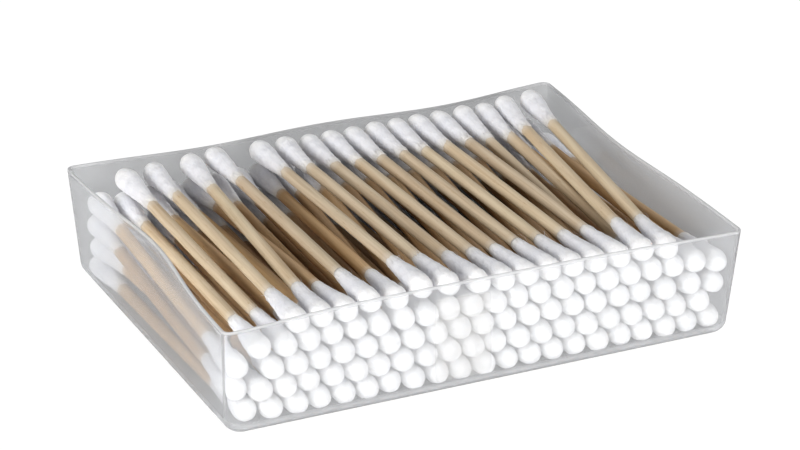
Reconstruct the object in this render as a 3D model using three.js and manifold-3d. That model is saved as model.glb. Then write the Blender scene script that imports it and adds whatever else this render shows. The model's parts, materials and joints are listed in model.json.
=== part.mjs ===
// An open tray of double-ended cotton swabs with wooden sticks (ear wax cleaners).
// Millimetres, +Z up. X runs along the tray's long side, Y along the swabs, front wall at -Y.
// The origin is the centre of the tray's underside.
import * as THREE from 'three'
import { mergeVertices } from 'three/addons/utils/BufferGeometryUtils.js'
import Module from 'manifold-3d'

const wasm = await Module()
wasm.setup()
const { Manifold, Mesh: ManifoldMesh } = wasm

// ---------- sizes ----------
const TRAY_HEIGHT = 23.3
const BASE_LENGTH = 109.8        // outside, at the floor, before the edge is rounded
const BASE_DEPTH = 84.6
const FLARE = 1.4                // how far each wall leans out by the rim
const WALL = 0.7
const FLOOR = 0.8
const CORNER_RADIUS_BASE = 3.6
const CORNER_RADIUS_RIM = 1.8
const EDGE_RADIUS = 2.6          // outside rounding between floor and walls
// The soft walls pull in between the corners; skew moves the front wall's deepest place along it.
const FRONT_BOW = { depth: 2.0, skew: -0.3 }
// The other walls have one or two hollows; at runs from -1 to 1 along +X or +Y.
const HOLLOWS = {
  right: [{ depth: 1.75, at: 0.15, width: 0.5 }],
  back: [{ depth: 2.15, at: -0.45, width: 0.37 }, { depth: 2.8, at: 0.52, width: 0.37 }],
  left: [{ depth: 2.9, at: 0, width: 0.5 }],
}

const SWAB_LENGTH = 78.0
const STICK_RADIUS = 1.25
const BUD_RADIUS = 2.38
const BUD_LENGTH = 14.5
const BUD_FATTEST = 3.1          // from the tip
const NECK_RADIUS = 1.85
const BORE_RADIUS = 1.5
const BORE_DEPTH = 10.0
const STICK_END_GAP = 0.3
const TOUCH_FRONT = 2 * BUD_RADIUS + 0.1    // centre distance of two buds that rest together
const TOUCH_BACK = 2 * BUD_RADIUS + 0.16    // the back ends are piled more loosely
const TIP_GAP = 0.15             // front tips stand this close to the front wall
const WEDGE_RISE = 0.9            // the first top swab is held up a little between its neighbours
const LEFT_COLUMN_BACK = 0.8     // the swabs along the left wall are pushed this far back

const LABEL_WIDTH = 12.2
const LABEL_HEIGHT = 17.4
const LABEL_THICK = 0.2
const LABEL_CENTRE_X = -5.4
const LABEL_LOW_Z = 3.0

// ---------- materials ----------
const material = (name, colour, roughness, extra = {}) =>
  Object.assign(new THREE.MeshStandardMaterial({ color: colour, roughness, metalness: 0, ...extra }), { name })
const trayPlastic = material('tray_plastic', 0xe4e7ea, 0.42, { transparent: true, opacity: 0.4 })
const labelFilm = material('label_film', 0xf4f1ea, 0.6, { transparent: true, opacity: 0.6 })
const cotton = material('cotton', 0xf6f5f2, 0.95)
const wood = material('wood', 0xcdb083, 0.72)
const looseFill = material('swab_fill', 0xe8dfce, 0.9)

// ---------- helpers ----------
const group = new THREE.Group()
group.name = 'cotton_swab_tray'

function addPart(name, geometry, mat) {
  const mesh = new THREE.Mesh(geometry, mat)
  mesh.name = name
  group.add(mesh)
}

// Joins doubled corners and drops the flat triangles they leave at a pole.
function welded(geometry) {
  geometry.deleteAttribute('uv')
  geometry.deleteAttribute('normal')
  const joined = mergeVertices(geometry, 1e-4)
  const old = joined.index.array
  const kept = []
  for (let i = 0; i < old.length; i += 3) {
    const [a, b, c] = [old[i], old[i + 1], old[i + 2]]
    if (a !== b && b !== c && c !== a) kept.push(a, b, c)
  }
  joined.setIndex(kept)
  return joined
}

// A closed body from rings of points that all have the same count; both ends close on a middle point.
function loft(rings, firstMiddle, lastMiddle) {
  const count = rings[0].length
  const points = [firstMiddle, ...rings.flat(), lastMiddle]
  const index = []
  const at = (ring, i) => 1 + ring * count + (i % count)
  for (let i = 0; i < count; i++) {
    index.push(0, at(0, i + 1), at(0, i))
    index.push(points.length - 1, at(rings.length - 1, i), at(rings.length - 1, i + 1))
    for (let ring = 0; ring + 1 < rings.length; ring++) {
      const [a, b] = [at(ring, i), at(ring, i + 1)]
      const [c, d] = [at(ring + 1, i), at(ring + 1, i + 1)]
      index.push(a, b, d, a, d, c)
    }
  }
  const geometry = new THREE.BufferGeometry()
  geometry.setAttribute('position', new THREE.Float32BufferAttribute(points.flat(), 3))
  geometry.setIndex(index)
  return geometry
}

function toManifold(geometry) {
  const clean = welded(geometry)
  return new Manifold(new ManifoldMesh({
    numProp: 3,
    vertProperties: new Float32Array(clean.attributes.position.array),
    triVerts: new Uint32Array(clean.index.array),
  }))
}

function fromManifold(solid) {
  const mesh = solid.getMesh()
  const geometry = new THREE.BufferGeometry()
  geometry.setAttribute('position', new THREE.Float32BufferAttribute(mesh.vertProperties, 3))
  geometry.setIndex(new THREE.Uint32BufferAttribute(mesh.triVerts, 1))
  return geometry
}

const signedVolume = (geometry) => {
  const p = geometry.attributes.position
  const index = geometry.index.array
  const corner = [new THREE.Vector3(), new THREE.Vector3(), new THREE.Vector3()]
  let sum = 0
  for (let i = 0; i < index.length; i += 3) {
    corner.forEach((c, k) => c.fromBufferAttribute(p, index[i + k]))
    sum += corner[0].dot(corner[1].clone().cross(corner[2])) / 6
  }
  return sum
}

// Turned body: profile of [radius, distance along the axis], laid from one 3-D point towards another.
function turned(profile, sides, from, to) {
  const points = profile.map(([r, h]) => new THREE.Vector2(r, h))
  const geometry = welded(new THREE.LatheGeometry(points, sides))
  if (signedVolume(geometry) < 0) geometry.index.array.reverse()
  const along = new THREE.Vector3().subVectors(to, from).normalize()
  const turn = new THREE.Quaternion().setFromUnitVectors(new THREE.Vector3(0, 1, 0), along)
  return geometry.applyQuaternion(turn).translate(from.x, from.y, from.z)
}

// ---------- the tray ----------
// How far a wall pulls in at the rim, at a place t from -1 to 1 along it.
function bowAt(side, t) {
  if (side === 'front') return FRONT_BOW.depth * (1 - t ** 4) ** 2 * (1 + FRONT_BOW.skew * t)
  const depths = HOLLOWS[side].map(({ depth, at, width }) => depth * Math.exp(-(((t - at) / width) ** 2)))
  return (1 - t ** 8) * depths.reduce((sum, depth) => sum + depth)
}

// One level ring of the tray wall; inset is how far inside the outer face it lies.
function wallRing(z, inset) {
  const rise = Math.max(0, z) / TRAY_HEIGHT
  const halfX = BASE_LENGTH / 2 + FLARE * rise - inset
  const halfY = BASE_DEPTH / 2 + FLARE * rise - inset
  const outerCorner = CORNER_RADIUS_BASE + (CORNER_RADIUS_RIM - CORNER_RADIUS_BASE) * rise
  const corner = Math.max(1.0, outerCorner - inset)
  const pull = rise ** 1.5
  const sides = [
    { side: 'front', turn: 0, half: halfX, reach: halfY },
    { side: 'right', turn: 90, half: halfY, reach: halfX },
    { side: 'back', turn: 180, half: halfX, reach: halfY },
    { side: 'left', turn: 270, half: halfY, reach: halfX },
  ]
  const ring = []
  const steps = 12
  const cornerSteps = 4
  for (const { side, turn, half, reach } of sides) {
    const a = THREE.MathUtils.degToRad(turn)
    const spot = (along, out) => [
      along * Math.cos(a) + out * Math.sin(a), along * Math.sin(a) - out * Math.cos(a), z]
    const run = half - corner
    // the back and left walls are walked the other way
    const way = turn >= 180 ? -1 : 1
    for (let i = 0; i <= steps; i++) {
      const t = -1 + 2 * i / steps
      ring.push(spot(run * t, reach - pull * bowAt(side, way * t)))
    }
    for (let i = 1; i < cornerSteps; i++) {
      const b = (i / cornerSteps) * Math.PI / 2
      ring.push(spot(run + corner * Math.sin(b), reach - corner + corner * Math.cos(b)))
    }
  }
  return ring
}

function makeTray() {
  const rings = []
  const edge = (radius, z0, extra) => [0, 30, 60, 90].map((deg) => {
    const b = THREE.MathUtils.degToRad(deg)
    return wallRing(z0 + radius * (1 - Math.cos(b)), extra + radius * (1 - Math.sin(b)))
  })
  const levels = [0.35, 0.6, 0.82, 1].map((share) => share * TRAY_HEIGHT)
  rings.push(...edge(EDGE_RADIUS, 0, 0))
  rings.push(...levels.map((z) => wallRing(z, 0)))
  rings.push(...levels.reverse().map((z) => wallRing(z, WALL)))
  rings.push(...edge(EDGE_RADIUS - WALL, FLOOR, WALL).reverse())
  return loft(rings, [0, 0, 0], [0, 0, FLOOR])
}
addPart('tray', makeTray(), trayPlastic)

// The outer face of the front wall between its corners.
function frontWallY(x, z) {
  const rise = z / TRAY_HEIGHT
  const t = x / (BASE_LENGTH / 2 + FLARE * rise - CORNER_RADIUS_BASE)
  return -(BASE_DEPTH / 2 + FLARE * rise) + rise ** 1.5 * bowAt('front', THREE.MathUtils.clamp(t, -1, 1))
}

// Blank film patch that follows the outside of the front wall.
function makeLabel() {
  const face = (out) => {
    const rows = []
    for (let k = 0; k <= 4; k++) {
      const z = LABEL_LOW_Z + LABEL_HEIGHT * k / 4
      const row = []
      for (let i = 0; i <= 4; i++) {
        const x = LABEL_CENTRE_X + LABEL_WIDTH * (i / 4 - 0.5)
        row.push([x, frontWallY(x, z) - out, z])
      }
      rows.push(row)
    }
    return rows
  }
  const [inner, outer] = [face(0.08), face(0.08 + LABEL_THICK)]
  const border = (rows) => [...rows[0], ...rows.slice(1).map((r) => r[4]),
    ...rows[4].slice(0, 4).reverse(), ...rows.slice(1, 4).reverse().map((r) => r[0])]
  return loft([border(inner), border(outer)], inner[2][2], outer[2][2])
}
addPart('front_label', makeLabel(), labelFilm)

// ---------- where the swabs lie ----------
// Every swab has a front end and a back end, each an {x, z} of its axis.
// A bud rests on the ones below it: the highest place where the two circles touch.
const restOn = (x, below, touch = TOUCH_FRONT) => Math.max(...below
  .filter((b) => Math.abs(b.x - x) < touch)
  .map((b) => b.z + Math.sqrt(touch ** 2 - (b.x - x) ** 2)))
const evenly = (first, step, count) => Array.from({ length: count }, (_, i) => first + step * i)
const onFloor = (xs) => xs.map((x) => ({ x, z: FLOOR + BUD_RADIUS + 0.15 }))
const onTop = (xs, below, touch) => xs.map((x) => ({ x, z: restOn(x, below, touch) }))
// the end swab of a layer, wedged against the left wall a little higher than the rest
const wedged = (x, rise, rest, below) => [{ x, z: restOn(rest[0], below) + rise }, ...onTop(rest, below)]

const front1 = onFloor(evenly(-50.0, 5.06, 21))
const front2 = wedged(-52.2, 0.4, evenly(-47.1, 5.04, 20), front1)
const front3 = wedged(-51.9, 1.0, [...evenly(-44.7, 5.0, 17), 40.8, 46.5, 51.9], front2)
const back1 = onFloor([-52.0, ...evenly(-45.6, 5.04, 20)])
const back2 = onTop([-52.1, ...evenly(-45.9, 5.06, 20)], back1, TOUCH_BACK)
const back3 = onTop([-52.1, ...evenly(-45.0, 5.04, 20)], back2, TOUCH_BACK)
const back4 = onTop([-52.0, -47.2, ...evenly(-41.8, 5.12, 19)], back3, TOUCH_BACK)

// The fourth layer's front ends leave room for swabs of the top layer that dip down at the front.
const dipLeft = onTop([-47.4, -41.9], front3)
dipLeft[0].z += WEDGE_RISE
const fourthFront = onTop([...evenly(-36.7, 4.95, 18), 52.2], front3)
const dipRight = [fourthFront[14], fourthFront[15]]
const flatFronts = fourthFront.filter((end) => !dipRight.includes(end))
const layer4Top = [...dipLeft, ...fourthFront]
// two slanting swabs have their front ends up in the top layer
const slanting = onTop([-28.8, -18.1], layer4Top)
const front4 = [...flatFronts.slice(0, 2), slanting[0], ...flatFronts.slice(2, 4), slanting[1],
  ...flatFronts.slice(4)]

// Against the left wall the second and third layers run up a level towards the back; against the
// right wall the third and fourth run down one.
const paired = (fronts, backs) => fronts.map((front, i) => ({ front, back: backs[i] }))
const layers = [
  paired(front1, back1),
  paired(front2, [back3[0], back2[0], ...back2.slice(1)]),
  paired(front3, [back4[0], ...back3.slice(1, 20), back2[20]]),
  paired(front4, [...back4.slice(2, 20), back3[20]]),
]

// Top layer: [front x, back x, extra height at the back, extra height at the front] where one
// crosses another swab
const TOP_LAYER = [
  [-42.0, -46.7, 0.8, 0], [-39.2, -40.2, 0.4, 0], [-34.2, -31.6, 0.4, 0],
  [-23.8, -26.3, 0.9, 0.7], [-12.3, -15.9, 0.2, 1.0], [-6.7, -10.6, 0.3, 0.6], [-0.2, -5.0, 0, 0.1],
  [5.4, 0.0, 0, 0], [10.3, 5.1, 0, 0], [15.4, 10.3, 0, 0], [20.3, 15.2, 0, 0],
  [25.5, 20.3, 0, 0], [30.6, 25.4, 0, 0], [NaN, 30.7, 0.6, 0], [NaN, 35.9, 0.4, 0],
  [35.2, 41.1, 0.7, 0.6], [40.3, 47.1, 1.8, 0.2],
]
const LOW_FRONTS = { 0: dipLeft[1], 13: dipRight[0], 14: dipRight[1] }
const topSwabs = [{ front: dipLeft[0], back: back4[1] }, ...TOP_LAYER.map((place, i) => {
  const [frontX, backX, backExtra, frontExtra] = place
  return {
    front: LOW_FRONTS[i] ?? { x: frontX, z: restOn(frontX, layer4Top) + frontExtra },
    back: { x: backX, z: restOn(backX, back4, TOUCH_BACK) + backExtra },
  }
})]

// The two tips of a swab. The front tips stand against the front wall, not quite in line, and
// those in its corners keep clear of the rounding.
function tips(swab, order) {
  const { front, back } = swab
  const corner = Math.abs(front.x) > 49 ? 0.5 : 0
  const pushed = front.x < -49 ? LEFT_COLUMN_BACK : 0
  const gap = TIP_GAP + 0.2 * (1 + Math.sin(order * 2.4)) + corner + pushed
  const tip = new THREE.Vector3(front.x, frontWallY(front.x, front.z) + WALL + gap, front.z)
  const span = new THREE.Vector3(back.x - front.x, SWAB_LENGTH, back.z - front.z)
  return { front: tip, back: tip.clone().add(span.setLength(SWAB_LENGTH)) }
}

// ---------- packed layers, each joined into one body ----------
const plainSwab = [
  [0, 0], [1.9, 0.7], [BUD_RADIUS, BUD_FATTEST], [STICK_RADIUS, BUD_LENGTH],
  [STICK_RADIUS, SWAB_LENGTH - BUD_LENGTH], [BUD_RADIUS, SWAB_LENGTH - BUD_FATTEST],
  [1.9, SWAB_LENGTH - 0.7], [0, SWAB_LENGTH],
]
function bridge(a, b) {
  const length = a.distanceTo(b)
  const along = new THREE.Vector3().subVectors(b, a).normalize()
  const turn = new THREE.Quaternion().setFromUnitVectors(new THREE.Vector3(1, 0, 0), along)
  const middle = a.clone().lerp(b, 0.5)
  return new THREE.BoxGeometry(length, 1.4, 1.0).applyQuaternion(turn).translate(middle.x, middle.y, middle.z)
}
// A layer's swabs, each linked to the next by a web between the heads that lie closer together.
function makeRow(layer) {
  const swabs = layer.map((swab, i) => tips(swab, i))
  const pieces = swabs.map(({ front, back }) => toManifold(turned(plainSwab, 6, front, back)))
  const inset = BUD_FATTEST / SWAB_LENGTH
  const frontHeads = swabs.map(({ front, back }) => front.clone().lerp(back, inset))
  const backHeads = swabs.map(({ front, back }) => back.clone().lerp(front, inset))
  for (let i = 1; i < swabs.length; i++) {
    const [near] = [frontHeads, backHeads]
      .map((heads) => [heads[i - 1], heads[i]])
      .sort((p, q) => p[0].distanceTo(p[1]) - q[0].distanceTo(q[1]))
    pieces.push(toManifold(bridge(...near)))
  }
  return fromManifold(pieces.reduce((sum, piece) => sum.add(piece)))
}
layers.forEach((layer, i) => addPart(`row_${i + 1}`, makeRow(layer), looseFill))

// ---------- the separate swabs on top ----------
const budProfile = [
  [0, 0], [1.6, 0.5], [2.3, 1.6], [BUD_RADIUS, BUD_FATTEST], [2.1, 8.0], [NECK_RADIUS, BUD_LENGTH - 0.2],
  [BORE_RADIUS, BUD_LENGTH], [BORE_RADIUS, BUD_LENGTH - BORE_DEPTH], [0, BUD_LENGTH - BORE_DEPTH],
]
const stickStart = BUD_LENGTH - BORE_DEPTH + STICK_END_GAP
const stickProfile = [
  [0, stickStart], [STICK_RADIUS, stickStart],
  [STICK_RADIUS, SWAB_LENGTH - stickStart], [0, SWAB_LENGTH - stickStart],
]
topSwabs.forEach((swab, i) => {
  const { front, back } = tips(swab, i + 1)
  const number = String(i + 1).padStart(2, '0')
  addPart(`stick_${number}`, turned(stickProfile, 8, front, back), wood)
  addPart(`front_bud_${number}`, turned(budProfile, 8, front, back), cotton)
  addPart(`back_bud_${number}`, turned(budProfile, 8, back, front), cotton)
})

export default group
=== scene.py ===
"""Tray of double-ended cotton swabs with wooden sticks: the looks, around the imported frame."""
import json
import math

import bpy
import numpy as np
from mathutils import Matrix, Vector

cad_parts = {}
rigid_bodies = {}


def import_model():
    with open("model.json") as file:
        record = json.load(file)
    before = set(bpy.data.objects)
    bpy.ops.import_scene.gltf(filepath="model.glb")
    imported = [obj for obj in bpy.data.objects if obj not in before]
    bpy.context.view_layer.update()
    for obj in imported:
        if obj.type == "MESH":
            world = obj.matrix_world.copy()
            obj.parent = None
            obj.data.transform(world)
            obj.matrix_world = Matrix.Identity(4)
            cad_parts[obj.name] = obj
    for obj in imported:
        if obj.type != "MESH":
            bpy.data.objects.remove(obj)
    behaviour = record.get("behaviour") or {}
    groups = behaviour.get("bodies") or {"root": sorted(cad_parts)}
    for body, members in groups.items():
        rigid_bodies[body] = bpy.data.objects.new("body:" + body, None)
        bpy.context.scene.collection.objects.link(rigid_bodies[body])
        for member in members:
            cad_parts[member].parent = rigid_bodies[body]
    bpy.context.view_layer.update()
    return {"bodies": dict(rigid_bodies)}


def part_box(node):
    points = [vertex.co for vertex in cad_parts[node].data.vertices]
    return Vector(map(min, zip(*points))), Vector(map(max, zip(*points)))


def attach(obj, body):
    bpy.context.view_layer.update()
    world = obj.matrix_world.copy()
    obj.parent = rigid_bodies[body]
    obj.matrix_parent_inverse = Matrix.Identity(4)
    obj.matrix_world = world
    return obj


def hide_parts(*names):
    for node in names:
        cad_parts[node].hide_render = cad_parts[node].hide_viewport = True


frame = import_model()

MM = 0.001
rng = np.random.default_rng(21)

# ---------------------------------------------------------------- sizes, in mm, as in the CAD
TRAY_HEIGHT = 23.3
BASE_LENGTH = 109.8
BASE_DEPTH = 84.6
FLARE = 1.4  # how much further out a wall stands at the rim than at the floor
WALL = 0.7
FLOOR = 0.8
CORNER_RADIUS_BASE = 3.6
CORNER_RADIUS_RIM = 1.8
CORNER_RADIUS_LEAST = 1.0
EDGE_RADIUS = 2.6  # between the walls and the floor

# the walls pull in between the corners, more and more towards the rim
BOW_POWER = 1.5
FRONT_BOW = (2.0, -0.3)  # depth at the rim, and how much it leans to the right
# depth at the rim, place from -1 to 1 along +X or +Y, width
HOLLOWS = {
    "right": [(1.75, 0.15, 0.5)],
    "back": [(2.15, -0.45, 0.37), (2.8, 0.52, 0.37)],
    "left": [(2.9, 0.0, 0.5)],
}

SWAB_LENGTH = 78.0
STICK_RADIUS = 1.25
BUD_RADIUS = 2.38
BUD_LENGTH = 14.5
FATTEST_AT = 3.2  # from the head's tip
NECK_RADIUS = 1.4  # the CAD's is 1.85, because its head has a wall round a bore

# from the middle of one head to the middle of the head that it lies on
TOUCH_FRONT = 2 * BUD_RADIUS + 0.1
TOUCH_BACK = 2 * BUD_RADIUS + 0.16
FLOOR_GAP = 0.15
TIP_GAP = 0.15
TIP_SCATTER = 0.2
SCATTER_TURN = 2.4  # radians from swab to swab, so that neighbours' gaps differ
SIDE_COLUMN = 49.0  # swabs further out than this stand by the tray's corners
CORNER_GAP = 0.5
LEFT_COLUMN_BACK = 0.8  # the left column stands this much further from the front wall
WEDGE_RISE = 0.9  # the leftmost top swab's front head sits this much above its resting place


# ---------------------------------------------------------------- where the swabs lie
def bow_at(side, t):
    """How far a wall pulls in at the rim, at a place t from -1 to 1 along it."""
    if side == "front":
        depth, skew = FRONT_BOW
        return depth * (1 - t**4) ** 2 * (1 + skew * t)
    hollows = [depth * math.exp(-(((t - at) / width) ** 2)) for depth, at, width in HOLLOWS[side]]
    return (1 - t**8) * sum(hollows)


def front_wall_y(x, z):
    """The outer face of the front wall."""
    rise = z / TRAY_HEIGHT
    t = x / (BASE_LENGTH / 2 + FLARE * rise - CORNER_RADIUS_BASE)
    return -(BASE_DEPTH / 2 + FLARE * rise) + rise**BOW_POWER * bow_at("front", max(-1, min(1, t)))


def rest_on(x, below, touch=TOUCH_FRONT):
    """The height of a head at x that lies on the heads below it."""
    return max(z + math.sqrt(touch**2 - (bx - x) ** 2) for bx, z in below if abs(bx - x) < touch)


def evenly(first, step, count):
    return [first + step * i for i in range(count)]


def on_floor(xs):
    return [(x, FLOOR + BUD_RADIUS + FLOOR_GAP) for x in xs]


def on_top(xs, below, touch=TOUCH_FRONT):
    return [(x, rest_on(x, below, touch)) for x in xs]


def wedged(first_x, rise, xs, below):
    """A layer whose first head, against the left wall, sits higher than the next one."""
    return [(first_x, rest_on(xs[0], below) + rise)] + on_top(xs, below)


# the middles of the heads, x and z, layer by layer from the floor up
front1 = on_floor(evenly(-50.0, 5.06, 21))
front2 = wedged(-52.2, 0.4, evenly(-47.1, 5.04, 20), front1)
front3 = wedged(-51.9, 1.0, evenly(-44.7, 5.0, 17) + [40.8, 46.5, 51.9], front2)
back1 = on_floor([-52.0] + evenly(-45.6, 5.04, 20))
back2 = on_top([-52.1] + evenly(-45.9, 5.06, 20), back1, TOUCH_BACK)
back3 = on_top([-52.1] + evenly(-45.0, 5.04, 20), back2, TOUCH_BACK)
back4 = on_top([-52.0, -47.2] + evenly(-41.8, 5.12, 19), back3, TOUCH_BACK)

# four swabs of the top layer dip into the fourth layer at the front
dip_left = on_top([-47.4, -41.9], front3)
dip_left[0] = (dip_left[0][0], dip_left[0][1] + WEDGE_RISE)
fourth_front = on_top(evenly(-36.7, 4.95, 18) + [52.2], front3)
dip_right = fourth_front[14:16]
flat_fronts = fourth_front[:14] + fourth_front[16:]

# two swabs of the fourth layer slant up at the front, onto the heads beside them
layer4_top = dip_left + fourth_front
slanting = on_top([-28.8, -18.1], layer4_top)
front4 = flat_fronts[:2] + slanting[:1] + flat_fronts[2:4] + slanting[1:] + flat_fronts[4:]

# against the left wall the second and third layers run up a level towards the back; against the
# right wall the third and fourth run down one
pairs = [
    list(zip(front1, back1)),
    list(zip(front2, [back3[0], back2[0]] + back2[1:20])),
    list(zip(front3, [back4[0]] + back3[1:20] + [back2[20]])),
    list(zip(front4, back4[2:20] + [back3[20]])),
]

# front x, back x, extra height at the back, extra height at the front
TOP_LAYER = [
    (-42.0, -46.7, 0.8, 0), (-39.2, -40.2, 0.4, 0), (-34.2, -31.6, 0.4, 0),
    (-23.8, -26.3, 0.9, 0.7), (-12.3, -15.9, 0.2, 1.0), (-6.7, -10.6, 0.3, 0.6), (-0.2, -5.0, 0, 0.1),
    (5.4, 0.0, 0, 0), (10.3, 5.1, 0, 0), (15.4, 10.3, 0, 0), (20.3, 15.2, 0, 0),
    (25.5, 20.3, 0, 0), (30.6, 25.4, 0, 0), (None, 30.7, 0.6, 0), (None, 35.9, 0.4, 0),
    (35.2, 41.1, 0.7, 0.6), (40.3, 47.1, 1.8, 0.2),
]
LOW_FRONTS = {0: dip_left[1], 13: dip_right[0], 14: dip_right[1]}


def tips(front, back, order):
    """The two tips of a swab, in mm; the front tips stand against the front wall."""
    gap = TIP_GAP + TIP_SCATTER * (1 + math.sin(order * SCATTER_TURN))
    if abs(front[0]) > SIDE_COLUMN:
        gap += CORNER_GAP
    if front[0] < -SIDE_COLUMN:
        gap += LEFT_COLUMN_BACK
    tip = np.array([front[0], front_wall_y(*front) + WALL + gap, front[1]])
    span = np.array([back[0] - front[0], SWAB_LENGTH, back[1] - front[1]])
    return tip, tip + span / np.linalg.norm(span) * SWAB_LENGTH


layers = [[tips(front, back, i) for i, (front, back) in enumerate(swabs)] for swabs in pairs]
top_swabs = [tips(dip_left[0], back4[1], 1)]
for i, (front_x, back_x, back_extra, front_extra) in enumerate(TOP_LAYER):
    front = LOW_FRONTS.get(i) or (front_x, rest_on(front_x, layer4_top) + front_extra)
    back = (back_x, rest_on(back_x, back4, TOUCH_BACK) + back_extra)
    top_swabs.append(tips(front, back, i + 2))

# the frame has the last word on where a swab is
for i, (front, back) in enumerate(top_swabs, start=1):
    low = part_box(f"front_bud_{i:02d}")[0]
    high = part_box(f"back_bud_{i:02d}")[1]
    assert abs(low.y / MM - front[1]) < 0.1 and abs(high.y / MM - back[1]) < 0.1, i


# ---------------------------------------------------------------- mesh building
class Surface:
    """Vertices and faces that grow piece by piece, with a tone and grain coordinates per piece."""

    def __init__(self):
        self.points, self.faces, self.tones, self.grains, self.count = [], [], [], [], 0

    def add(self, points, faces, tone=0.5, grain=None):
        self.points.append(np.asarray(points, float))
        self.faces += [[v + self.count for v in face] for face in faces]
        self.tones.append(np.full(len(points), tone))
        self.grains.append(np.asarray(points if grain is None else grain, float))
        self.count += len(points)

    def build(self, name, material, body, slot, replaced=()):
        mesh = bpy.data.meshes.new(name)
        mesh.from_pydata((np.concatenate(self.points) * MM).tolist(), [], self.faces)
        mesh.update()
        mesh.polygons.foreach_set("use_smooth", np.ones(len(mesh.polygons), bool))
        tone = mesh.attributes.new("tone", "FLOAT", "POINT")
        tone.data.foreach_set("value", np.concatenate(self.tones).astype(np.float32))
        grain = mesh.attributes.new("grain", "FLOAT_VECTOR", "POINT")
        grain.data.foreach_set("vector", (np.concatenate(self.grains) * MM).astype(np.float32).ravel())
        mesh.materials.append(material)
        obj = bpy.data.objects.new(name, mesh)
        bpy.context.scene.collection.objects.link(obj)
        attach(obj, body)
        if replaced:
            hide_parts(*replaced)


def grid_faces(rings, around):
    """Quads between rings, with a triangle fan to a first and a last point."""
    faces = []
    last = 1 + rings * around
    for i in range(around):
        j = (i + 1) % around
        faces.append([0, 1 + j, 1 + i])
        faces.append([last, last - around + i, last - around + j])
        for r in range(rings - 1):
            a, b = 1 + r * around + i, 1 + r * around + j
            faces.append([a, b, b + around, a + around])
    return faces


def axes_of(start, end):
    """Unit vectors along a piece, to its side and up from it."""
    along = (end - start) / np.linalg.norm(end - start)
    side = np.cross(along, [0, 0, 1.0])
    side /= np.linalg.norm(side)
    return along, side, np.cross(side, along)


def full_turn(around):
    """The angles of a ring's points."""
    return np.arange(around) * 2 * math.pi / around


def fade(s, start, end):
    """0 up to start, 1 from end on, and even between them."""
    return np.clip((s - start) / (end - start), 0, 1)


def smooth_noise(rings, around, blur_rings, blur_around):
    """Seeded noise over a ring grid, smoothed, about -1 to 1."""
    noise = rng.standard_normal((rings, around))
    for _ in range(blur_around):
        noise = (np.roll(noise, 1, 1) + noise * 2 + np.roll(noise, -1, 1)) / 4
    for _ in range(blur_rings):
        padded = np.pad(noise, ((1, 1), (0, 0)), mode="edge")
        noise = (padded[:-2] + noise * 2 + padded[2:]) / 4
    return noise / (noise.std() + 1e-9) * 0.5


def grain_of(points, start, end, offset):
    """Coordinates that follow a turned piece: across, along from its start, and across again."""
    along, side, up = axes_of(start, end)
    away = np.asarray(points) - start
    return np.stack([away @ side + offset[0], away @ along, away @ up + offset[1]], axis=1)


def grain_offset():
    """A shift in mm, far enough that no two pieces show the same grain."""
    return rng.random(2) * 400


def turned(start, end, stations, radii, shift):
    """A turned body: distances along the axis, a ring of radii at each, and its middle's shift."""
    along, side, up = axes_of(start, end)
    rings, around = radii.shape
    angle = full_turn(around)
    outward = np.cos(angle)[:, None] * side + np.sin(angle)[:, None] * up
    centres = start + np.outer(stations, along) + shift[:, :1] * side + shift[:, 1:] * up
    body = centres[:, None, :] + radii[:, :, None] * outward[None]
    points = np.concatenate([centres[:1], body.reshape(-1, 3), centres[-1:]])
    return points, grid_faces(rings, around)


# ---------------------------------------------------------------- cotton heads and sticks
# how a head is out of round: share of its radius, bumps around, turn in radians per mm
HEAD_SWELLS = ((0.022, 2, 0.35), (0.014, 3, -0.8))
WRAP_SWELL = 0.02
WRAP_PITCH = 2.9
LUMP = 0.035  # how uneven the wrap is, in mm
NECK_LUMP = 0.05
# rings that draw the wrap's end in to the stick: past the neck, over the stick, share of the
# neck's unevenness
WRAP_END = ((0.6, 0.05, 0.5), (1.1, -0.06, 0.1), (-0.3, -0.15, 0.0))
BEND = 0.14  # how far a head's tip leans off the stick's axis

# loose fibres: how many, where they start, how long, how thick, how far they lift
WISPS = (
    (20, (12.2, 14.4), (0.9, 2.8), (0.05, 0.14), (0.0, 0.12)),
    (8, (1.0, 12.0), (0.8, 2.0), (0.03, 0.05), (0.1, 0.35)),
    (3, (12.6, 14.2), (1.2, 2.8), (0.05, 0.09), (0.3, 0.9)),
)
WISP_STEPS = 5
WISP_END = 0.004  # half its width at the end
NECK_FROM = 12.0  # fibres that start past here lie on the neck

STICK_INSET = 5.0  # how far the stick's ends lie behind the heads' tips
STICK_LUMP = 0.012  # how uneven its surface is
SAG = 0.09  # how far its middle strays from a straight line


def bud_radius(s):
    """The head's radius at a distance s from its tip: blunt round tip, slow taper to a soft neck."""
    before = 1 - fade(s, 0, FATTEST_AT)
    tip = BUD_RADIUS * np.sqrt(1 - before**2.2)
    past = fade(s, FATTEST_AT, BUD_LENGTH)
    slope = 0.6 * past**2 * (3 - 2 * past) + 0.4 * past
    return np.where(s < FATTEST_AT, tip, BUD_RADIUS - (BUD_RADIUS - NECK_RADIUS) * slope**0.9)


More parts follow.
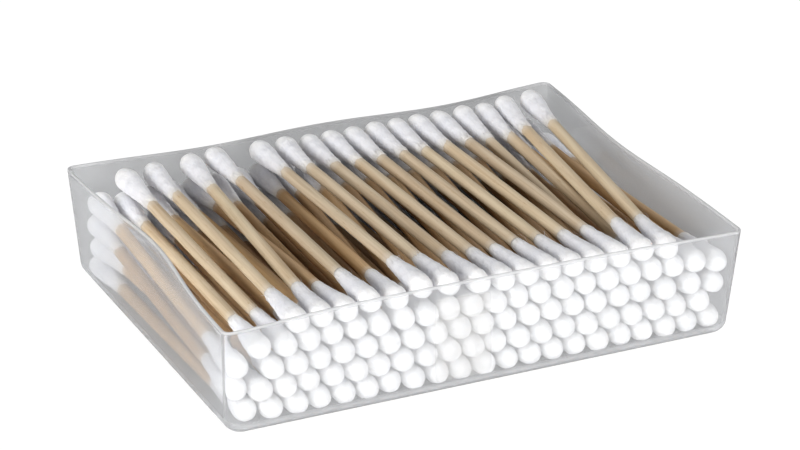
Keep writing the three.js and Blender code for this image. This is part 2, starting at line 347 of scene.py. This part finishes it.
def add_bud(surface, tip, neck_way, around, rings, fine):
    """A wound cotton head; neck_way is a point on the stick's axis beyond the head."""
    tone = rng.random()
    # the rings lie closer together towards the tip
    s = BUD_LENGTH * (0.012 + 0.988 * np.linspace(0, 1, rings) ** 1.25)
    down = s[:, None]
    angle = full_turn(around)[None]
    phase = rng.random(4) * 2 * math.pi
    wrap = WRAP_SWELL * rng.uniform(0.6, 1.0)
    swell = wrap * np.sin(angle + down * 2 * math.pi / WRAP_PITCH + phase[2])
    for (share, bumps, turn), start in zip(HEAD_SWELLS, phase):
        swell = swell + share * np.sin(bumps * angle + turn * down + start)
    radius = bud_radius(down) * (1 + swell * fade(down, 0, 2.5))
    radius += LUMP * smooth_noise(rings, around, 1, 1) * np.clip(down / 0.8, 0.2, 1)
    if fine:
        radius += NECK_LUMP * smooth_noise(rings, around, 4, 1) * fade(down, 9, 14)

    ragged = radius[-1:] - radius[-1:].mean()
    stations, rows = list(s), [radius]
    for past_neck, over_stick, share in WRAP_END:
        stations.append(BUD_LENGTH + past_neck)
        rows.append(STICK_RADIUS + over_stick + ragged * share)
    shift = np.outer((1 - fade(np.array(stations), 0, 9)) ** 2, rng.normal(0, BEND, 2))
    points, faces = turned(tip, neck_way, stations, np.concatenate(rows), shift)
    offset = grain_offset()
    surface.add(points, faces, tone, grain_of(points, tip, neck_way, offset))
    if fine:
        add_wisps(surface, tip, neck_way, tone, offset)


def wisp_points(axes, tip, start, length, thick, lift, turn, twist):
    """A thin three-sided fibre that tapers to its end and follows the head or the neck."""
    along, side, up = axes
    on_neck = start > NECK_FROM
    points = []
    for t in np.linspace(0, 1, WISP_STEPS):
        s = start + length * t
        out = float(bud_radius(min(s, BUD_LENGTH)))
        if on_neck:
            blend = fade(s, BUD_LENGTH - 0.6, BUD_LENGTH + 0.6)
            out = out * (1 - blend) + (STICK_RADIUS + 0.08) * blend
        out += lift * math.sin(t * math.pi * (0.5 if on_neck else 0.9)) - 0.03
        angle = turn + twist * t * (1 + t)
        radial = math.cos(angle) * side + math.sin(angle) * up
        across = np.cross(along, radial)
        middle = tip + along * s + radial * out
        half = thick / 2 * (1 - t) ** 0.7 + WISP_END
        points += [middle - across * half, middle + across * half, middle + radial * half * 0.9]
    return points


def add_wisps(surface, tip, neck_way, tone, offset):
    """Loose fibres: most lie from the neck out along the stick, some lift off the head."""
    faces = [[2, 1, 0], [3 * WISP_STEPS - 3, 3 * WISP_STEPS - 2, 3 * WISP_STEPS - 1]]
    for i in range(0, 3 * WISP_STEPS - 3, 3):
        faces += [[i + c, i + (c + 1) % 3, i + 3 + (c + 1) % 3, i + 3 + c] for c in range(3)]
    axes = axes_of(tip, neck_way)
    for count, *ranges in WISPS:
        for _ in range(count):
            turn = rng.random() * 2 * math.pi
            start, length, thick, lift = [rng.uniform(*limits) for limits in ranges]
            twist = rng.normal(0, 0.35)
            points = wisp_points(axes, tip, start, length, thick, lift, turn, twist)
            surface.add(points, faces, tone, grain_of(points, tip, neck_way, offset))


def add_stick(surface, start, end, around, rings):
    """A turned birch stick from inside one head to inside the other, not perfectly straight or round."""
    length = np.linalg.norm(end - start)
    s = np.linspace(STICK_INSET, length - STICK_INSET, rings)
    down, angle = s[:, None], full_turn(around)[None]
    phase = rng.random(3) * 2 * math.pi
    # an oval and a five-sided ripple around it, and a slow swell along it
    uneven = (
        0.02 * np.sin(2 * angle + phase[0] + 0.01 * down)
        + 0.012 * np.sin(5 * angle + phase[1])
        + 0.01 * np.sin(down / 9 + phase[2])
    )
    radius = STICK_RADIUS * (1 + uneven) + STICK_LUMP * smooth_noise(rings, around, 6, 1)
    share = (s - STICK_INSET) / (length - 2 * STICK_INSET)
    shift = np.outer(np.sin(math.pi * share), rng.normal(0, SAG, 2))
    points, faces = turned(start, end, s, radius, shift)
    tone = rng.random()
    surface.add(points, faces, tone, grain_of(points, start, end, grain_offset()))


# ---------------------------------------------------------------- materials
class Look:
    """A material's nodes; a method adds one step and returns what comes out of it."""

    def __init__(self, name):
        self.material = bpy.data.materials.new(name)
        self.material.use_nodes = True
        self.tree = self.material.node_tree
        self.tree.nodes.clear()
        self.output = self.tree.nodes.new("ShaderNodeOutputMaterial")
        self.shader = self.tree.nodes.new("ShaderNodeBsdfPrincipled")
        self.finish(self.shader.outputs[0])

    def feed(self, node, inputs):
        """Links what comes from another node, and sets what is a plain value on the socket itself."""
        for key, value in inputs.items():
            if isinstance(value, bpy.types.NodeSocket):
                self.tree.links.new(value, node.inputs[key])
            else:
                node.inputs[key].default_value = value
        return node

    def add(self, kind, inputs):
        return self.feed(self.tree.nodes.new("ShaderNode" + kind), inputs)

    def finish(self, shader):
        self.tree.links.new(shader, self.output.inputs[0])

    def attribute(self, name, output):
        node = self.add("Attribute", {})
        node.attribute_name = name
        return node.outputs[output]

    def place(self):
        """Where a point lies in the object, in metres."""
        return self.add("TexCoord", {}).outputs["Object"]

    def grain(self, scale):
        """The piece's own grain coordinates, in metres, stretched."""
        node = self.add("Mapping", {"Vector": self.attribute("grain", "Vector"), "Scale": scale})
        return node.outputs["Vector"]

    def distance_along(self):
        """How far along its piece a point lies, in metres."""
        return self.add("SeparateXYZ", {0: self.attribute("grain", "Vector")}).outputs["Y"]

    def noise(self, vector, scale, detail, rough, distortion=0.0):
        inputs = {"Vector": vector, "Scale": scale, "Detail": detail}
        node = self.add("TexNoise", {**inputs, "Roughness": rough, "Distortion": distortion})
        return node.outputs["Fac"]

    def map_range(self, value, low, high, from_value=0.0, to_value=1.0):
        """Maps low..high onto the two values."""
        inputs = {"Value": value, "From Min": low, "From Max": high}
        return self.add("MapRange", {**inputs, "To Min": from_value, "To Max": to_value}).outputs[0]

    def height_band(self, low, high, from_value, to_value):
        """A value that runs from one to the other between two heights, in mm."""
        height = self.add("SeparateXYZ", {0: self.place()}).outputs["Z"]
        return self.map_range(height, low * MM, high * MM, from_value, to_value)

    def ramp(self, factor, *stops):
        """A colour that runs through the stops, each a position and a colour."""
        node = self.add("ValToRGB", {"Fac": factor})
        elements = node.color_ramp.elements
        while len(elements) < len(stops):
            elements.new(0.5)
        for element, (position, colour) in zip(elements, stops):
            element.position = position
            element.color = (*colour, 1)
        return node.outputs["Color"]

    def mix(self, factor, a, b, mode="MIX"):
        node = self.tree.nodes.new("ShaderNodeMix")
        node.data_type = "RGBA"
        node.blend_type = mode
        factor_input, a_input, b_input, colour_output = 0, 6, 7, 2
        self.feed(node, {factor_input: factor, a_input: a, b_input: b})
        return node.outputs[colour_output]

    def multiply(self, a, b):
        return self.mix(1.0, a, b, "MULTIPLY")

    def combine(self, operation, a, b):
        node = self.add("Math", {0: a, 1: b})
        node.operation = operation
        return node.outputs[0]

    def bump(self, height, distance, strength, **under):
        node = self.add("Bump", {"Height": height, "Distance": distance, "Strength": strength, **under})
        return node.outputs["Normal"]

    def bsdf(self, kind, colour):
        return self.add("Bsdf" + kind, {"Color": (*colour, 1)}).outputs[0]

    def mix_shaders(self, factor, a, b):
        return self.add("MixShader", {0: factor, 1: a, 2: b}).outputs[0]

    def light_path(self, kind):
        return self.add("LightPath", {}).outputs[kind]


WHITE = (1.0, 1.0, 1.0)


def make_cotton():
    """Wound cotton: white at the tip, greyer and cooler up the wrap as painted shade, thin over the wood
    at the neck.
    """
    look = Look("wound_cotton")
    fibres = look.noise(look.grain((1, 0.3, 1)), 2600, 5, 0.65, 1.6)
    lumps = look.noise(look.grain((1, 0.6, 1)), 800, 4, 0.6, 0.6)
    wrap_share = look.map_range(look.distance_along(), 0, 16 * MM)
    # painted shade: the grey, cool middle of this ramp stands in for the dimmer light on the heads'
    # bodies; its brown end is the wood showing through thin cotton at the neck
    wrap = look.ramp(
        wrap_share,
        (0.0, (0.93, 0.92, 0.905)), (0.16, (0.915, 0.908, 0.9)), (0.4, (0.825, 0.825, 0.85)),
        (0.8, (0.835, 0.825, 0.835)), (0.9, (0.85, 0.82, 0.78)), (0.99, (0.8, 0.73, 0.64)),
    )
    mottle = look.ramp(lumps, (0.3, (0.93, 0.93, 0.945)), (0.68, WHITE))
    strands = look.ramp(fibres, (0.3, (0.94, 0.94, 0.95)), (0.62, (1.02, 1.02, 1.02)))
    soft = look.bump(lumps, 0.6 * MM, 0.7)
    look.feed(look.shader, {
        "Base Color": look.multiply(look.multiply(wrap, mottle), strands),
        "Roughness": 0.95,
        "Specular IOR Level": 0.15,
        "Sheen Weight": 0.25,
        "Sheen Roughness": 0.6,
        "Subsurface Weight": 0.4,
        "Subsurface Radius": (1.0, 0.95, 0.9),
        "Subsurface Scale": 1.2 * MM,
        "Normal": look.bump(fibres, 0.1 * MM, 0.55, Normal=soft),
    })
    return look.material


def make_wood(name, shade_tint):
    """Raw birch: streaks and broad bands along the grain, dark flecks, each stick its own tone, and a
    shade tint multiplied over all as painted shade.
    """
    look = Look(name)
    streaks = look.noise(look.grain((2100, 60, 2100)), 1, 5, 0.55, 0.3)
    broad = look.noise(look.grain((420, 26, 420)), 1, 3, 0.5, 0.2)
    flecks = look.noise(look.grain((3600, 420, 3600)), 1, 2, 0.5)
    tints = (
        look.ramp(broad, (0.28, (0.9, 0.83, 0.76)), (0.5, (1.0, 0.97, 0.95)), (0.7, (1.0, 1.0, 0.98))),
        look.ramp(
            look.attribute("tone", "Fac"),
            (0.0, (0.88, 0.83, 0.78)), (0.3, (0.96, 0.95, 0.95)),
            (0.7, (1.05, 1.03, 0.98)), (1.0, (0.94, 0.93, 0.93)),
        ),
        look.ramp(flecks, (0.24, (0.78, 0.68, 0.58)), (0.34, WHITE)),
        # painted shade: a darker, warmer tint for sticks that lie deep in the pile
        (*shade_tint, 1),
    )
    colour = look.ramp(
        streaks, (0.28, (0.5, 0.4, 0.275)), (0.5, (0.6, 0.5, 0.36)), (0.74, (0.67, 0.58, 0.44)))
    for tint in tints:
        colour = look.multiply(colour, tint)

    # loose fibres pale the stick where it leaves either head
    along = look.distance_along()
    nearer = look.combine("MINIMUM", along, look.combine("SUBTRACT", SWAB_LENGTH * MM, along))
    fuzz = look.map_range(nearer, (BUD_LENGTH + 0.4) * MM, (BUD_LENGTH + 3.0) * MM, 0.5, 0.0)
    look.feed(look.shader, {
        "Base Color": look.mix(fuzz, colour, (0.76, 0.7, 0.62, 1)),
        "Roughness": look.map_range(streaks, 0, 1, 0.6, 0.8),
        "Specular IOR Level": 0.4,
        "Normal": look.bump(streaks, 0.06 * MM, 0.35),
    })
    return look.material


def make_tray_plastic():
    """Thin frosted polypropylene: it blurs and greys what lies behind it."""
    look = Look("frosted_polypropylene")
    cloud = look.noise(look.place(), 60, 3, 0.5, 0.3)
    look.feed(look.shader, {
        "Base Color": look.ramp(cloud, (0.3, (0.81, 0.815, 0.825)), (0.7, (0.84, 0.845, 0.85))),
        "Roughness": 0.07,
        "IOR": 1.3,
        "Transmission Weight": 1.0,
    })
    milk = look.bsdf("Translucent", (0.45, 0.455, 0.465))
    veil = look.bsdf("Diffuse", (0.86, 0.862, 0.868))
    scattered = look.mix_shaders(0.6, milk, veil)

    # how much of the light the wall scatters; the lip and the rounded foot scatter more, so they
    # read as pale lines
    wall_haze, lip_haze, foot_haze = 0.23, 0.9, 0.55
    lip = look.height_band(TRAY_HEIGHT - 0.65, TRAY_HEIGHT - 0.15, wall_haze, lip_haze)
    foot = look.height_band(0.5, 3.0, foot_haze, wall_haze)
    haze = look.combine("MAXIMUM", lip, foot)
    seen = look.mix_shaders(haze, look.shader.outputs[0], scattered)

    # lamps reach the swabs through the thin wall
    clear = look.bsdf("Transparent", (0.86, 0.865, 0.87))
    look.finish(look.mix_shaders(look.light_path("Is Shadow Ray"), seen, clear))
    return look.material


def make_label_film():
    """A blank film, almost clear, with a faint crease across it."""
    look = Look("blank_label_film")
    fine = look.noise(look.place(), 900, 3, 0.5)
    look.feed(look.shader, {
        "Base Color": look.ramp(fine, (0.3, (0.94, 0.922, 0.895)), (0.7, (0.97, 0.953, 0.93))),
        "Roughness": 0.6,
    })
    film, crease, crease_height, crease_half = 0.11, 0.21, 16.0, 0.3
    rise = look.height_band(crease_height - crease_half, crease_height, film, crease)
    fall = look.height_band(crease_height, crease_height + crease_half, crease, film)
    cover = look.combine("MINIMUM", rise, fall)
    look.finish(look.mix_shaders(cover, look.bsdf("Transparent", WHITE), look.shader.outputs[0]))
    return look.material


cotton = make_cotton()
wood = make_wood("raw_birch", WHITE)
# the lower layers' sticks get a darker, warmer colour: painted shade for the depths of the pile
shaded_layer_wood = make_wood("shaded_deep_birch", (0.9, 0.74, 0.55))
tray_plastic = make_tray_plastic()
label_film = make_label_film()


# ---------------------------------------------------------------- the tray
SIDE_STEPS = 36
CORNER_STEPS = 12
EDGE_STEPS = 9
WALL_LEVELS = 16
LABEL_CORNER = 1.0
LABEL_BACK, LABEL_FRONT = 0.04, 0.22  # how far its faces stand off the front wall
LABEL_EDGE = 0.6  # the faces' distance at the outline, as a share of the rest
LABEL_RINGS = (1.0, 0.97, 0.75, 0.5, 0.25, 0.1)  # each ring's size as a share of the outline


def wall_ring(z, inset):
    """A closed line around the tray at a height, counter-clockwise, inset from the outer face."""
    rise = z / TRAY_HEIGHT
    half_x = BASE_LENGTH / 2 + FLARE * rise - inset
    half_y = BASE_DEPTH / 2 + FLARE * rise - inset
    radius = CORNER_RADIUS_BASE + (CORNER_RADIUS_RIM - CORNER_RADIUS_BASE) * rise - inset
    corner = max(CORNER_RADIUS_LEAST, radius)
    ring = []
    for quarter, name in enumerate(("front", "right", "back", "left")):
        half, reach = (half_x, half_y) if quarter % 2 == 0 else (half_y, half_x)
        way = -1 if quarter >= 2 else 1
        cos, sin = math.cos(quarter * math.pi / 2), math.sin(quarter * math.pi / 2)
        run = half - corner
        for i in range(SIDE_STEPS + 1):
            t = -1 + 2 * i / SIDE_STEPS
            out = reach - rise**BOW_POWER * bow_at(name, way * t)
            ring.append((run * t * cos + out * sin, run * t * sin - out * cos, z))
        for i in range(1, CORNER_STEPS):
            angle = i / CORNER_STEPS * math.pi / 2
            along, out = run + corner * math.sin(angle), reach - corner + corner * math.cos(angle)
            ring.append((along * cos + out * sin, along * sin - out * cos, z))
    return ring


def foot_rings(radius, z, inset):
    """Rings round the rounded edge between a floor face at z and a wall face."""
    return [
        wall_ring(z + radius * (1 - math.cos(angle)), inset + radius * (1 - math.sin(angle)))
        for angle in np.linspace(0, math.pi / 2, EDGE_STEPS)
    ]


def build_tray():
    """One closed shell: outer foot, outer wall, round lip, inner wall, inner foot."""
    lip = WALL / 2
    levels = np.linspace(EDGE_RADIUS + 1.2, TRAY_HEIGHT - lip, WALL_LEVELS)
    rings = foot_rings(EDGE_RADIUS, 0, 0) + [wall_ring(z, 0) for z in levels]
    for angle in np.linspace(0, math.pi, EDGE_STEPS)[1:-1]:
        rings.append(wall_ring(TRAY_HEIGHT - lip + lip * math.sin(angle), lip - lip * math.cos(angle)))
    rings += [wall_ring(z, WALL) for z in levels[::-1]]
    rings += foot_rings(EDGE_RADIUS - WALL, FLOOR, WALL)[::-1]
    points = [(0, 0, 0)] + [point for ring in rings for point in ring] + [(0, 0, FLOOR)]
    surface = Surface()
    surface.add(points, grid_faces(len(rings), len(rings[0])))
    surface.build("frosted_tray", tray_plastic, "tray", "tray_plastic", ["tray"])


def label_rings(out):
    """Rings from the label's rounded outline in to its middle, a distance out from the front wall."""
    low, high = (np.array(corner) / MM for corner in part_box("front_label"))
    centre_x, _, centre_z = (low + high) / 2
    half_x, _, half_z = (high - low) / 2 - LABEL_CORNER
    border = []
    for way_x, way_z, start in ((1, -1, -90), (1, 1, 0), (-1, 1, 90), (-1, -1, 180)):
        for degrees in range(start, start + 91, 15):
            angle = math.radians(degrees)
            x = way_x * half_x + LABEL_CORNER * math.cos(angle)
            border.append((x, way_z * half_z + LABEL_CORNER * math.sin(angle)))
    rings = []
    for keep in LABEL_RINGS:
        lift = out if keep < 1 else out * LABEL_EDGE
        places = [(centre_x + x * keep, centre_z + z * keep) for x, z in border]
        rings.append([(x, front_wall_y(x, z) - lift, z) for x, z in places])
    return rings


def build_label():
    """The CAD patch, finer and with rounded corners, following the front wall."""
    inner, outer = label_rings(LABEL_BACK), label_rings(LABEL_FRONT)
    rings = inner[::-1] + outer
    points = [np.mean(inner[-1], axis=0)] + [point for ring in rings for point in ring]
    points.append(np.mean(outer[-1], axis=0))
    surface = Surface()
    surface.add(points, grid_faces(len(rings), len(rings[0])))
    surface.build("blank_label", label_film, "tray", "label_film", ["front_label"])


build_tray()
build_label()

# ---------------------------------------------------------------- the swabs
# points around, rings along
FINE_STICK, FINE_BUD = (22, 60), (48, 44)
PACKED_STICK, PACKED_BUD = (12, 24), (28, 26)

for number, (front, back) in enumerate(top_swabs, start=1):
    tag = f"{number:02d}"
    body = f"swab_{tag}" if f"swab_{tag}" in frame["bodies"] else "tray"
    stick = Surface()
    add_stick(stick, front, back, *FINE_STICK)
    stick.build(f"birch_stick_{tag}", wood, body, "wood", [f"stick_{tag}"])
    for side, tip, other in (("front", front, back), ("back", back, front)):
        bud = Surface()
        add_bud(bud, tip, other, *FINE_BUD, True)
        bud.build(f"cotton_{side}_{tag}", cotton, body, "cotton", [f"{side}_bud_{tag}"])

for number, swabs in enumerate(layers, start=1):
    sticks, heads = Surface(), Surface()
    for front, back in swabs:
        add_stick(sticks, front, back, *PACKED_STICK)
        add_bud(heads, front, back, *PACKED_BUD, False)
        add_bud(heads, back, front, *PACKED_BUD, False)
    sticks.build(f"layer_{number}_sticks", shaded_layer_wood, "tray", "wood")
    heads.build(f"layer_{number}_cotton", cotton, "tray", "swab_fill", [f"row_{number}"])

# ---------------------------------------------------------------- floor, light and camera, in metres
FLOOR_REACH = 3.0
SKY_STRENGTH = 0.245
LIGHT_AIM = (0, 0, 0.01)
# place, size, power, colour
LIGHTS = {
    "key_left": ((-1.2, -0.6, 0.42), (0.6, 0.6), 13.8, WHITE),
    "soft_above": ((0.5, 0.7, 1.0), (0.9, 0.9), 6.5, (0.98, 0.985, 1.0)),
    "fill_front": ((0.0, -1.3, 0.14), (2.4, 0.28), 16.0, WHITE),
}
CAMERA_AZIMUTH = math.radians(-24.8)
CAMERA_ELEVATION = math.radians(24.48)
CAMERA_DISTANCE = 0.796
CAMERA_LENS = 165.6  # like the sensor, in mm
CAMERA_SENSOR = 36
CAMERA_AIM = (0.01622, 0.0341, 0.0)


def make_floor_white():
    """A plain pale sweep that the camera sees lit evenly white behind the tray."""
    look = Look("floor_white")
    look.feed(look.shader, {
        "Base Color": (0.75, 0.75, 0.75, 1), "Roughness": 0.9, "Specular IOR Level": 0.1})
    glow = look.add("Emission", {"Strength": 1.1}).outputs[0]
    seen = look.combine("MULTIPLY", look.light_path("Is Camera Ray"), 0.9)
    look.finish(look.mix_shaders(seen, look.shader.outputs[0], glow))
    return look.material


def build_floor():
    mesh = bpy.data.meshes.new("floor")
    corners = [(x * FLOOR_REACH, y * FLOOR_REACH, 0) for x, y in ((-1, -1), (1, -1), (1, 1), (-1, 1))]
    mesh.from_pydata(corners, [], [(0, 1, 2, 3)])
    mesh.materials.append(make_floor_white())
    floor = bpy.data.objects.new("floor", mesh)
    bpy.context.scene.collection.objects.link(floor)


def add_light(name, place, size, power, colour):
    light = bpy.data.lights.new(name, "AREA")
    light.shape = "RECTANGLE"
    light.size, light.size_y = size
    light.energy = power
    light.color = colour
    obj = bpy.data.objects.new(name, light)
    bpy.context.scene.collection.objects.link(obj)
    obj.location = place
    obj.rotation_euler = (Vector(LIGHT_AIM) - Vector(place)).to_track_quat("-Z", "Y").to_euler()


def add_camera():
    data = bpy.data.cameras.new("camera")
    data.sensor_width = CAMERA_SENSOR
    data.lens = CAMERA_LENS
    data.clip_start = 0.01
    camera = bpy.data.objects.new("camera", data)
    bpy.context.scene.collection.objects.link(camera)
    across, up = math.cos(CAMERA_ELEVATION), math.sin(CAMERA_ELEVATION)
    away = (math.sin(CAMERA_AZIMUTH) * across, -math.cos(CAMERA_AZIMUTH) * across, up)
    camera.location = [a + b * CAMERA_DISTANCE for a, b in zip(CAMERA_AIM, away)]
    camera.rotation_euler = (math.pi / 2 - CAMERA_ELEVATION, 0, CAMERA_AZIMUTH)
    bpy.context.scene.camera = camera


build_floor()
for name, light in LIGHTS.items():
    add_light(name, *light)
add_camera()

world = bpy.data.worlds.new("soft_white")
world.use_nodes = True
background = world.node_tree.nodes["Background"]
background.inputs["Color"].default_value = (*WHITE, 1)
background.inputs["Strength"].default_value = SKY_STRENGTH
bpy.context.scene.world = world
bpy.context.scene.view_settings.view_transform = "Standard"
bpy.context.scene.view_settings.look = "None"
